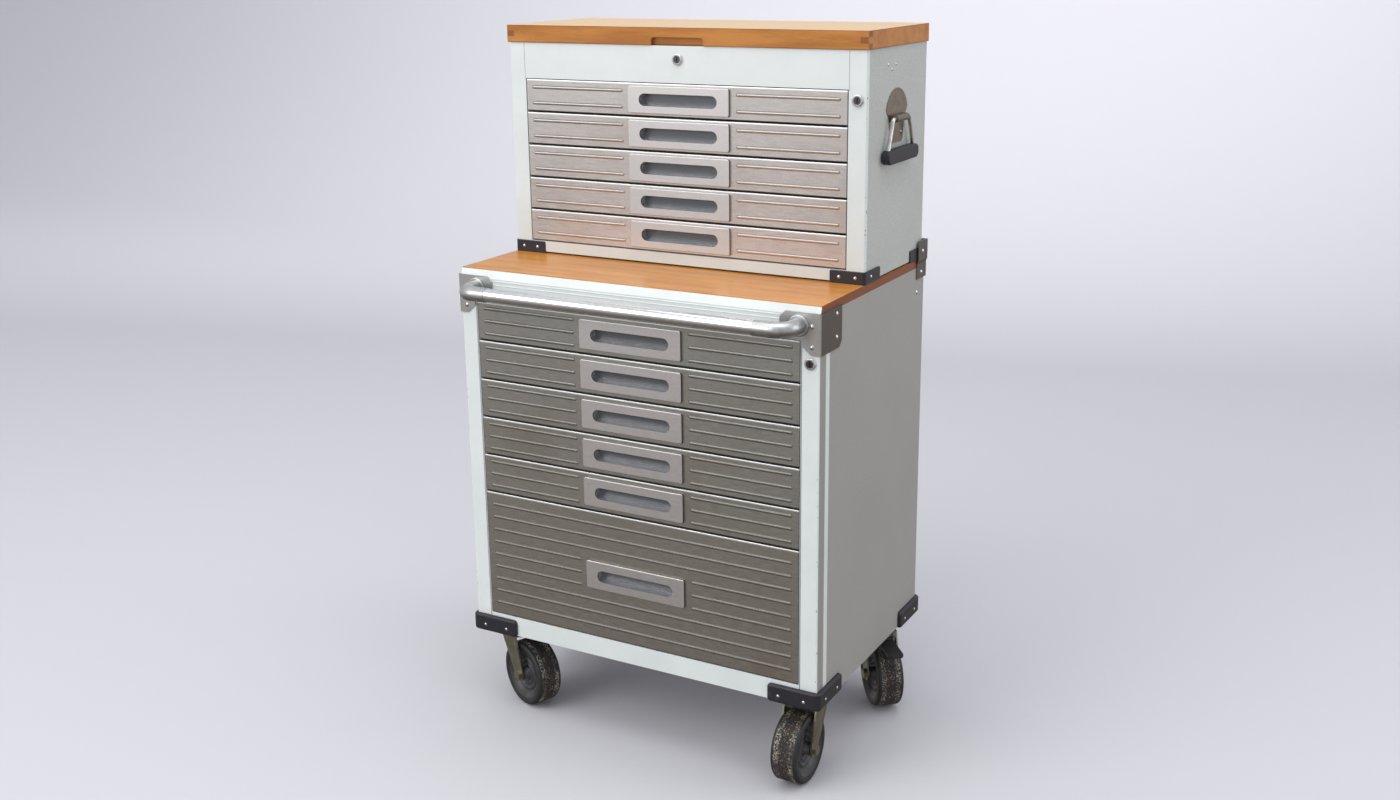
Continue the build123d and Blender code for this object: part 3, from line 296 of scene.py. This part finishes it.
def brushed_front(name, low, high, base):
    """Stainless front with a lengthwise grain; the pull plate is brighter and satin."""
    middle_z = (low[2] + high[2]) / 2
    steel = Shader(name, 0.42, 1.0)
    grain = steel.noise(520.0, 3.0, 0.6, (0.10, 1, 1))
    speckle = steel.noise(620.0, 3.0, 0.7, (0.7, 1, 1))
    clouds = steel.noise(9.0, 5.0, 0.6, (0.6, 1, 1.6))
    tone = steel.mix(steel.ramp(grain, 0.3, 0.7), scaled(base, 0.90), scaled(base, 1.06))
    tone = steel.mix(steel.ramp(speckle, 0.42, 0.66, 0.0, 0.5), tone, scaled(base, 0.74))
    tone = steel.mix(steel.ramp(clouds, 0.45, 0.75, 0.0, 0.40), tone, tinted(base, WARM_TINT))
    stains = steel.ramp(steel.noise(3.4, 6.0, 0.65), 0.48, 0.70, 0.0, 0.5)
    tone = steel.mix(stains, tone, tinted(base, STAIN_TINT))
    # painted highlight along the rolled top edge of the front
    top_highlight = steel.ramp(steel.axis("Z"), high[2] - 3.0 * MM, high[2] - 2.4 * MM)
    tone = steel.mix(top_highlight, tone, PAINTED_HIGHLIGHT)
    foot_line = steel.ramp(steel.axis("Z"), low[2] + 1.2 * MM, low[2] + 1.6 * MM, 1.0, 0.0)
    tone = steel.mix(steel.both(foot_line, 0.8), tone, FOOT_SHADE)

    proud = steel.ramp(steel.axis("Y"), low[1] + 2.1 * MM, low[1] + 2.3 * MM, 1.0, 0.0)
    from_middle = steel.math("ABSOLUTE", steel.math("SUBTRACT", steel.axis("Z"), middle_z))
    x_size = steel.x_size()
    slot_height = steel.inside(from_middle, -BEYOND, SLOT_HALF_HEIGHT)
    in_slot = steel.both(slot_height, steel.inside(x_size, -BEYOND, SLOT_HALF_LENGTH))
    plate = steel.both(proud, steel.inside(x_size, -BEYOND, PULL_HALF_LENGTH))
    satin = steel.mix(steel.ramp(speckle, 0.3, 0.7), scaled(PULL_STEEL, 0.92), PULL_STEEL)
    tone = steel.mix(steel.either(plate, in_slot), tone, satin)

    # painted shade: upward-facing rib slopes are darkened so they show less highlight
    upward = steel.ramp(steel.facing_up, 0.15, 0.55)
    rib_top_shade = steel.both(upward, steel.other(steel.either(proud, top_highlight)))
    tone = steel.mix(rib_top_shade, tone, scaled(base, 0.34))
    turned = steel.both(proud, steel.ramp(steel.facing_back, -0.9, -0.6))
    right_edge = steel.both(turned, steel.ramp(steel.facing_right, 0.3, 0.6))
    tone = steel.mix(right_edge, tone, RIGHT_EDGE_SHADE)

    # painted shade: the back of the pull's recessed slot is darkened
    sunk = steel.both(in_slot, steel.ramp(steel.axis("Y"), low[1] + 1.2 * MM, low[1] + 2.6 * MM))
    tone = steel.mix(sunk, tone, SLOT_SHADE)
    # painted highlight on the slot's upward and right-facing inner walls
    lip_highlight = steel.either(upward, steel.ramp(steel.facing_right, 0.25, 0.7))
    tone = steel.mix(steel.both(sunk, lip_highlight), tone, PAINTED_HIGHLIGHT)
    steel.colour(tone)
    steel.roughness(steel.ramp(grain, 0.2, 0.8, 0.36, 0.52))
    steel.bump(speckle, 0.05 * MM, 0.4)
    return steel.material


def plain_metal(name, base, rough, flecks=0.12):
    """Worn metal with faint clouding and scratches."""
    metal = Shader(name, rough, 1.0)
    clouds = metal.noise(60.0, 5.0, 0.65)
    scratches = metal.noise(300.0, 3.0, 0.6, (0.15, 1, 1))
    dark = scaled(base, 1 - 2 * flecks)
    metal.colour(metal.mix(metal.ramp(clouds, 0.35, 0.75), base, dark))
    metal.roughness(metal.ramp(scratches, 0.25, 0.75, rough * 0.8, rough * 1.35))
    metal.bump(scratches, 0.02 * MM, 0.4)
    return metal.material


def wood(name, light, dark, rough):
    """Lacquered wood with the grain along X."""
    shader = Shader(name, rough, Coat_Weight=0.08, Coat_Roughness=0.15, Specular_IOR_Level=0.2)
    streaks = shader.noise(42.0, 6.0, 0.62, (0.12, 1, 1))
    pores = shader.noise(380.0, 3.0, 0.6, (0.07, 1, 1))
    bands = shader.noise(9.0, 3.0, 0.5, (0.16, 1, 1))
    tone = shader.mix(shader.ramp(streaks, 0.34, 0.72, 0.0, 0.8), light, dark)
    tone = shader.mix(shader.ramp(pores, 0.52, 0.74, 0.0, 0.40), tone, scaled(dark, 0.55))
    tone = shader.mix(shader.ramp(bands, 0.50, 0.72, 0.0, 0.35), tone, scaled(light, 1.12))
    shader.bump(pores, 0.05 * MM, 0.35)
    return shader, tone


def worktop_wood():
    """Scuffed wood, dark on the board's ends."""
    shader, tone = wood("worktop_wood", WOOD_LIGHT, WOOD_DARK, 0.30)
    scuffs = shader.ramp(shader.noise(11.0, 7.0, 0.7, (1, 0.35, 1)), 0.60, 0.68, 0.0, 0.30)
    tone = shader.mix(scuffs, tone, WOOD_SCUFF)
    board_end = shader.ramp(shader.x_size(), side_x - 0.9 * MM, side_x - 0.6 * MM)
    shader.colour(shader.mix(board_end, tone, WOOD_EDGE))
    return shader.material


def lid_wood():
    """Boards with end grain showing in their finger joints, and a paler panel on top."""
    shader, tone = wood("lid_wood", LID_LIGHT, LID_DARK, 0.34)
    x_size = shader.x_size()
    z_up = shader.math("SUBTRACT", shader.axis("Z"), lid_low[2])
    middle_finger = shader.inside(z_up, finger, 2 * finger)
    half = lid_high[0]
    front = lid_low[1]
    inner = front + LID_BOARD
    near_side = shader.inside(x_size, half - LID_BOARD, half - 0.4 * MM)
    front_face = shader.ramp(shader.axis("Y"), front + 0.3 * MM, front + 0.5 * MM, 1.0, 0.0)
    side_face = shader.ramp(x_size, half - 0.5 * MM, half - 0.3 * MM)
    near_front = shader.ramp(shader.axis("Y"), inner, inner + 0.3 * MM, 1.0, 0.0)
    on_front = shader.both(shader.both(front_face, near_side), middle_finger)
    on_side = shader.both(shader.both(side_face, near_front), shader.other(middle_finger))
    tone = shader.mix(shader.both(shader.either(on_front, on_side), 0.75), tone, END_GRAIN)
    rim = shader.other(shader.inside(z_up, 1.3 * MM, 3 * finger - 1.2 * MM, 0.4 * MM))
    tone = shader.mix(shader.both(rim, 0.7), tone, WOOD_EDGE)
    top = shader.ramp(shader.axis("Z"), lid_high[2] - 0.4 * MM, lid_high[2] - 0.1 * MM)
    shader.colour(shader.mix(shader.both(top, 0.7), tone, LID_TOP))
    return shader.material


def black_plastic(name, rough):
    """Fine-grained plastic with a little dust."""
    shader = Shader(name, rough, Specular_IOR_Level=0.5)
    grain = shader.noise(900.0, 2.0, 0.5)
    dust = shader.ramp(shader.noise(45.0, 6.0, 0.7), 0.52, 0.80, 0.0, 0.25)
    shader.colour(shader.mix(dust, BLACK, (0.13, 0.12, 0.12)))
    shader.bump(grain, 0.04 * MM, 0.4)
    return shader.material


def dirty_rubber(name, bare):
    """Black rubber caked with soil; the higher the bare level, the less dry soil."""
    shader = Shader(name, 0.8)
    fine = shader.noise(360.0, 5.0, 0.75)
    coarse = shader.noise(90.0, 5.0, 0.7)
    tone = shader.mix(shader.ramp(coarse, 0.42, 0.62, 0.0, 0.8), RUBBER, WET_MUD)
    patches = shader.ramp(shader.noise(34.0, 3.0, 0.6), 0.40, 0.62, 0.25, 1.0)
    tone = shader.mix(shader.both(patches, shader.ramp(fine, bare, bare + 0.05)), tone, DRY_MUD)
    shader.colour(tone)
    shader.bump(fine, 0.9 * MM, 0.9)
    return shader.material


def smooth_rubber():
    """Dusty black rubber without soil."""
    shader = Shader("smooth_rubber", 0.5)
    dust = shader.ramp(shader.noise(60.0, 6.0, 0.7), 0.50, 0.78, 0.0, 0.30)
    shader.colour(shader.mix(dust, RUBBER, (0.10, 0.09, 0.08)))
    shader.bump(shader.noise(500.0, 3.0), 0.05 * MM, 0.4)
    return shader.material


def hub_plastic():
    """Dusty dark plastic of the wheels' hubs."""
    shader = Shader("hub_plastic", 0.38)
    dust = shader.ramp(shader.noise(80.0, 6.0, 0.7), 0.45, 0.75, 0.0, 0.45)
    shader.colour(shader.mix(dust, HUB_PLASTIC, (0.16, 0.15, 0.14)))
    shader.bump(shader.noise(400.0, 3.0), 0.05 * MM, 0.4)
    return shader.material


def bail_metal():
    """Bright wire above, black moulded grip below."""
    grip_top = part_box("bail_right")[0][2] + GRIP_HEIGHT
    shader = Shader("bail_metal", 0.16, 1.0)
    grip = shader.ramp(shader.axis("Z"), grip_top - 0.1 * MM, grip_top + 0.1 * MM, 1.0, 0.0)
    clouds = shader.noise(80.0, 4.0, 0.6)
    bright = shader.mix(shader.ramp(clouds, 0.4, 0.8), (0.74, 0.73, 0.71), (0.50, 0.47, 0.43))
    shader.colour(shader.mix(grip, bright, BLACK))
    shader.put(shader.other(grip), shader.surface.inputs["Metallic"])
    shader.roughness(shader.ramp(grip, 0.0, 1.0, 0.16, 0.45))
    shader.bump(shader.noise(700.0, 2.0), 0.02 * MM, 0.3)
    return shader.material


def bracket_metal():
    """Light satin steel in front, with painted shade making the flanges beside the cabinet dark."""
    shader = Shader("bracket_metal", 0.36, 1.0)
    clouds = shader.noise(60.0, 5.0, 0.65)
    light = shader.mix(shader.ramp(clouds, 0.35, 0.75), (0.58, 0.58, 0.57), (0.48, 0.48, 0.46))
    x_size = shader.x_size()
    # painted shade: the flanges beside the cabinet are coloured dark
    flange = shader.ramp(x_size, side_x + 0.6 * MM, side_x + 1.0 * MM)
    behind = shader.ramp(shader.axis("Y"), frame_low[1] - 0.3 * MM, frame_low[1] + 0.3 * MM)
    shader.colour(shader.mix(shader.both(flange, behind), light, (0.17, 0.16, 0.15)))
    shader.roughness(shader.ramp(clouds, 0.3, 0.7, 0.30, 0.44))
    shader.bump(shader.noise(300.0, 3.0, 0.6, (0.15, 1, 1)), 0.02 * MM, 0.4)
    return shader.material


def finish(material, *names):
    """Gives CAD nodes their material."""
    for name in names:
        for place in nodes[name].material_slots:
            place.material = material


# ---- meshes ------------------------------------------------------------------------------
def new_piece(name, vertices, faces, materials, face_materials=()):
    """A smooth-shaded mesh. Each face has a place among the materials, the first by default."""
    mesh = bpy.data.meshes.new(name)
    mesh.from_pydata(vertices, [], faces)
    for material in materials:
        mesh.materials.append(material)
    for polygon, index in zip(mesh.polygons, face_materials):
        polygon.material_index = index
    mesh.update()
    builder = bmesh.new()
    builder.from_mesh(mesh)
    bmesh.ops.recalc_face_normals(builder, faces=builder.faces)
    builder.to_mesh(mesh)
    builder.free()
    mesh.shade_smooth()
    piece = bpy.data.objects.new(name, mesh)
    bpy.context.scene.collection.objects.link(piece)
    return piece


def lumps(angle, across):
    """Uneven soil on a tread, from 0 to 1, the same on every run."""
    value = sin(7 * angle + 3 * across) + sin(17 * angle - 9 * across + 1.3)
    value += sin(31 * angle + 23 * across + 0.7) + sin(53 * angle + 41 * across) * 0.8
    return 0.5 + value / 8


def wheel_profile():
    """Half outline of the wheel, as radius, distance from the middle plane and material."""
    points = []
    for step in range(FLAT_STEPS + 1):
        kind = CAKED_EDGE if step > FLAT_STEPS / 2 else TREAD
        points.append((wheel_radius - SOIL_ROOM, TREAD_HALF * FLAT_SHARE * step / FLAT_STEPS, kind))
    for step in range(1, SHOULDER_STEPS + 1):
        turn = radians(90 * step / SHOULDER_STEPS)
        radius = wheel_radius - SOIL_ROOM - SHOULDER * (1 - cos(turn))
        points.append((radius, TREAD_HALF - SHOULDER * (1 - sin(turn)), SIDE_WALL))
    points.append((RIM_RADIUS + 6 * MM, TREAD_HALF - 0.2 * MM, SIDE_WALL))
    points.append((RIM_RADIUS + 4 * MM, TREAD_HALF - 1.2 * MM, SIDE_WALL))
    points.append((RIM_RADIUS + 1 * MM, TREAD_HALF - 1.4 * MM, SIDE_WALL))
    points.append((RIM_RADIUS, TREAD_HALF - 3.4 * MM, HUB))
    return points + [(radius * MM, depth * MM, HUB) for radius, depth in HUB_RINGS]


def between(first, second):
    """Material of the face between two points of the outline."""
    if SIDE_WALL in (first, second) and HUB not in (first, second):
        return SIDE_WALL
    return max(first, second)


def wheel(corner, skins):
    """Tyre and hub, turned about the CAD wheel's axle."""
    roll = next(joint for joint in frame["joints"] if joint["name"] == "roll_" + corner)
    centre = Vector(roll["pos_m"])
    axle = Vector(roll["axis"]).normalized()
    up = Vector((0, 0, 1))
    ahead = axle.cross(up).normalized()
    half = wheel_profile()
    outline = [(radius, -across, kind) for radius, across, kind in reversed(half[1:])] + half
    vertices = []
    for turn in range(WHEEL_STEPS):
        angle = tau * turn / WHEEL_STEPS
        spoke = ahead * cos(angle) + up * sin(angle)
        for radius, across, kind in outline:
            soiled = kind in (TREAD, CAKED_EDGE)
            sunk = SOIL_DEPTH * lumps(angle, across / SOIL_GRAIN) if soiled else 0
            vertices.append(centre + spoke * (radius - sunk) + axle * across)
    faces = []
    kinds = []
    row = len(outline)
    for turn in range(WHEEL_STEPS):
        here = turn * row
        there = (turn + 1) % WHEEL_STEPS * row
        for index in range(row - 1):
            faces.append((here + index, here + index + 1, there + index + 1, there + index))
            kinds.append(between(outline[index][2], outline[index + 1][2]))
        faces.append((here + row - 1, here, there, there + row - 1))
        kinds.append(HUB)
    piece = new_piece("wheel_skin_" + corner, vertices, faces, skins, kinds)
    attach(piece, "wheel_" + corner)
    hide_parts("wheel_" + corner)


# ---- the object --------------------------------------------------------------------------
def carcasses():
    """Painted sheet, its inside, and the two wooden boards."""
    drawer_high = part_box("drawer_1_front")[1]
    opening = drawer_high[0] + DRAWER_GAP
    white = white_paint("white_cabinet_front", opening, frame_low[1], drawer_high[2], wrap_end)
    finish(white, "cabinet_front_frame")
    drawer_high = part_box("chest_drawer_1_front")[1]
    opening = drawer_high[0] + DRAWER_GAP
    white = white_paint("white_chest_front", opening, chest_low[1], drawer_high[2])
    finish(white, "chest_front_frame")
    finish(hammered_paint("cabinet_side_paint", SIDE_PAINT), "cabinet_shell")
    finish(hammered_paint("chest_side_paint", CHEST_SIDE_PAINT), "chest_shell")
    boxes = [name for name in nodes if name.endswith("_box")]
    finish(hammered_paint("inner_paint", INNER_PAINT), "cabinet_floor_pan", "chest_floors", *boxes)
    finish(worktop_wood(), "worktop_board")
    finish(lid_wood(), "lid")


def drawer_fronts():
    """Each front's tone follows its height in the cabinet or in the chest."""
    for name in nodes:
        if "drawer" not in name or not name.endswith("_front"):
            continue
        if name.startswith("chest"):
            foot, top, tones = chest_low[2], chest_high[2], CHEST_STEEL
        else:
            foot, top, tones = frame_low[2], frame_high[2], CABINET_STEEL
        low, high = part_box(name)
        place = ((low[2] + high[2]) / 2 - foot) / (top - foot)
        base = tuple(lower + (upper - lower) * place for lower, upper in zip(*tones))
        finish(brushed_front("stainless_" + name, low, high, base), name)


def fittings():
    """Handle, brackets, rivets, bumpers, locks, rails, hinge and drop handles."""
    finish(plain_metal("handle_chrome", (0.82, 0.81, 0.82), 0.10, 0.05), "handle_tube")
    finish(plain_metal("satin_steel", (0.56, 0.56, 0.56), 0.34), "handle_elbows")
    finish(bracket_metal(), "corner_brackets")
    rivet_steel = plain_metal("rivet_steel", (0.72, 0.72, 0.72), 0.22)
    finish(rivet_steel, "cabinet_rivets", "chest_rivets")
    finish(black_plastic("bumper_plastic", 0.42), "cabinet_bumpers", "chest_bumpers")
    lock_chrome = plain_metal("lock_chrome", (0.75, 0.74, 0.76), 0.14, 0.08)
    finish(lock_chrome, "cabinet_lock_body", "chest_lock_bodies")
    plug_metal = plain_metal("plug_metal", (0.11, 0.11, 0.12), 0.3)
    finish(plug_metal, "cabinet_lock_plug", "chest_lock_plug", "lid_lock_plug")
    rail_zinc = plain_metal("rail_zinc", (0.50, 0.50, 0.50), 0.36)
    finish(rail_zinc, "cabinet_slide_rails", "chest_slide_rails")
    finish(rail_zinc, "lid_hinge_fixed_leaf", "lid_hinge_moving_leaf")
    finish(bail_metal(), "bail_left", "bail_right")
    finish(plain_metal("bail_plate_bronze", (0.30, 0.25, 0.20), 0.28, 0.16), "bail_plates")


def casters():
    """Plates, forks, pedals and wheels."""
    zinc = plain_metal("zinc_plate", ZINC, 0.34, 0.16)
    finish(zinc, "caster_plates")
    pedal_black = black_plastic("pedal_black", 0.35)
    finish(pedal_black, "brake_pedal_rear_left", "brake_pedal_rear_right")
    tread = dirty_rubber("dirty_rubber", 0.565)
    caked_edge = dirty_rubber("caked_rubber", 0.50)
    side_wall = smooth_rubber()
    skins = [tread, side_wall, hub_plastic(), caked_edge]
    for corner in ("front_left", "front_right", "rear_left", "rear_right"):
        finish(zinc, "caster_fork_" + corner)
        finish(side_wall, "wheel_" + corner)
        wheel(corner, skins)


# ---- studio ------------------------------------------------------------------------------
def backdrop():
    """One pale sweep: floor in front, curved up into the wall behind."""
    shader = Shader("studio_grey", 0.9)
    shader.colour(STUDIO_GREY)
    half_width, near, depth, height, bend = 40.0, -40.0, 6.0, 9.0, 2.5
    bend_steps = 12
    below_wheels = 0.5 * MM
    outline = [(near, 0.0), (depth - bend, 0.0)]
    for step in range(1, bend_steps + 1):
        turn = radians(90 * step / bend_steps)
        outline.append((depth - bend + bend * sin(turn), bend - bend * cos(turn)))
    outline.append((depth, height))
    vertices = []
    for y, z in outline:
        vertices += [(-half_width, y, z), (half_width, y, z)]
    faces = []
    for index in range(len(outline) - 1):
        first = 2 * index
        faces.append((first, first + 1, first + 3, first + 2))
    sweep = new_piece("studio_sweep", vertices, faces, [shader.material])
    sweep.location.z = -below_wheels
    sweep.visible_glossy = False


def sky():
    """Soft light all round, bright above and brown below, which the steel reflects."""
    world = bpy.data.worlds.new("studio_world")
    bpy.context.scene.world = world
    world.use_nodes = True
    tree = world.node_tree
    background = tree.nodes["Background"]
    background.inputs["Strength"].default_value = 1.0
    direction = tree.nodes.new("ShaderNodeTexCoord")
    split = tree.nodes.new("ShaderNodeSeparateXYZ")
    tree.links.new(direction.outputs["Generated"], split.inputs[0])
    share_up = tree.nodes.new("ShaderNodeMath")
    share_up.operation = "MULTIPLY_ADD"
    share_up.inputs[1].default_value = 0.5
    share_up.inputs[2].default_value = 0.5
    tree.links.new(split.outputs["Z"], share_up.inputs[0])
    tones = tree.nodes.new("ShaderNodeValToRGB")
    tree.links.new(share_up.outputs[0], tones.inputs["Fac"])
    tree.links.new(tones.outputs["Color"], background.inputs["Color"])
    elements = tones.color_ramp.elements
    while len(elements) < len(SKY_BANDS):
        elements.new(0.5)
    for element, (height, tone) in zip(elements, SKY_BANDS):
        element.position = (height + 1) / 2
        element.color = (*tone, 1.0)


def area_light(name, place, target, size, power, colour=(1.0, 1.0, 1.0)):
    """A rectangular light that looks at its target."""
    light = bpy.data.lights.new(name, "AREA")
    light.shape = "RECTANGLE"
    light.size, light.size_y = size
    light.energy = power
    light.color = colour
    lamp = bpy.data.objects.new(name, light)
    lamp.location = place
    aim = Vector(target) - Vector(place)
    lamp.rotation_euler = aim.to_track_quat("-Z", "Y").to_euler()
    bpy.context.scene.collection.objects.link(lamp)


def lights():
    """A large key from the left, a soft top light, a rim light and one for the backdrop."""
    middle = (0.0, 0.0, 0.7)
    warm, pale = (1.0, 0.99, 0.97), (1.0, 0.99, 0.98)
    area_light("key", (-2.1, -3.7, 2.8), middle, (3.2, 3.0), 86, warm)
    area_light("top", (0.2, -0.6, 3.6), middle, (3.2, 2.4), 40)
    area_light("rim", (3.2, 1.2, 1.9), middle, (1.6, 2.4), 20)
    area_light("backdrop", (-1.5, 2.4, 3.2), (-2.6, 6.0, 3.0), (7.0, 1.2), 150, pale)


def camera():
    """The photograph's viewing angle, for a frame of 1400 by 800."""
    focal_px, frame_px = 1516.8, 1400.0
    axis_above_middle_px = 50.0
    azimuth, elevation, roll = radians(29.114), radians(14.836), radians(-0.653)
    aim = Vector((0.0095, 0.0266, 0.6971))
    distance = 2.793
    back = Vector((sin(azimuth) * cos(elevation), -cos(azimuth) * cos(elevation), sin(elevation)))
    right = Vector((0, 0, 1)).cross(back).normalized()
    up = back.cross(right)
    across = right * cos(roll) + up * sin(roll)
    upward = up * cos(roll) - right * sin(roll)
    data = bpy.data.cameras.new("camera")
    data.sensor_width = 36.0
    data.lens = focal_px / frame_px * data.sensor_width
    data.shift_y = -axis_above_middle_px / frame_px
    view = bpy.data.objects.new("camera", data)
    turn = Matrix((across, upward, back)).transposed().to_4x4()
    view.matrix_world = Matrix.Translation(aim + back * distance) @ turn
    bpy.context.scene.collection.objects.link(view)
    bpy.context.scene.camera = view


carcasses()
drawer_fronts()
fittings()
casters()
backdrop()
sky()
lights()
camera()
bpy.context.scene.view_settings.view_transform = "Standard"
bpy.context.scene.view_settings.look = "None"
